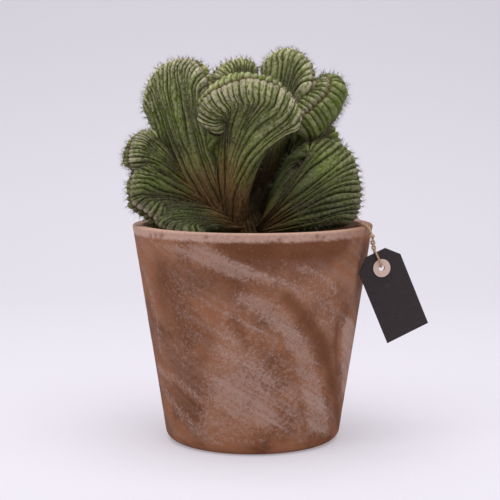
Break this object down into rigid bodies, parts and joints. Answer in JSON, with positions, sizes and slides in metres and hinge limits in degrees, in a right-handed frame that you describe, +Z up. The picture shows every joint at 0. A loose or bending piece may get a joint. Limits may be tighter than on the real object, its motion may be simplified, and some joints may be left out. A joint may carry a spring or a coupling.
{
  "type": "potted crested cactus",
  "caption": "Crested cactus with wavy ribbed, spined lobes, growing in soil in a plain tapered terracotta pot, with a blank card tag on a jute twine over the rim.",
  "frame": {"origin": "middle of the pot's foot, on the surface that the pot stands on", "axes": "+Z up; -Y is the front that the picture shows; +X to the right seen from the front, the side that the tag hangs on"},
  "size_m": [0.2429, 0.19, 0.308],
  "materials": {
    "terracotta": "matte",
    "potting_soil": "matte",
    "cactus_skin": "matte",
    "black_card": "matte",
    "eyelet_card": "matte",
    "jute": "matte"
  },
  "bodies": {
    "root": {"pot": "terracotta", "soil": "potting_soil", "cactus": "cactus_skin", "tag": "black_card", "eyelet": "eyelet_card", "twine": "jute", "knot": "jute"}
  },
  "joints": []
}
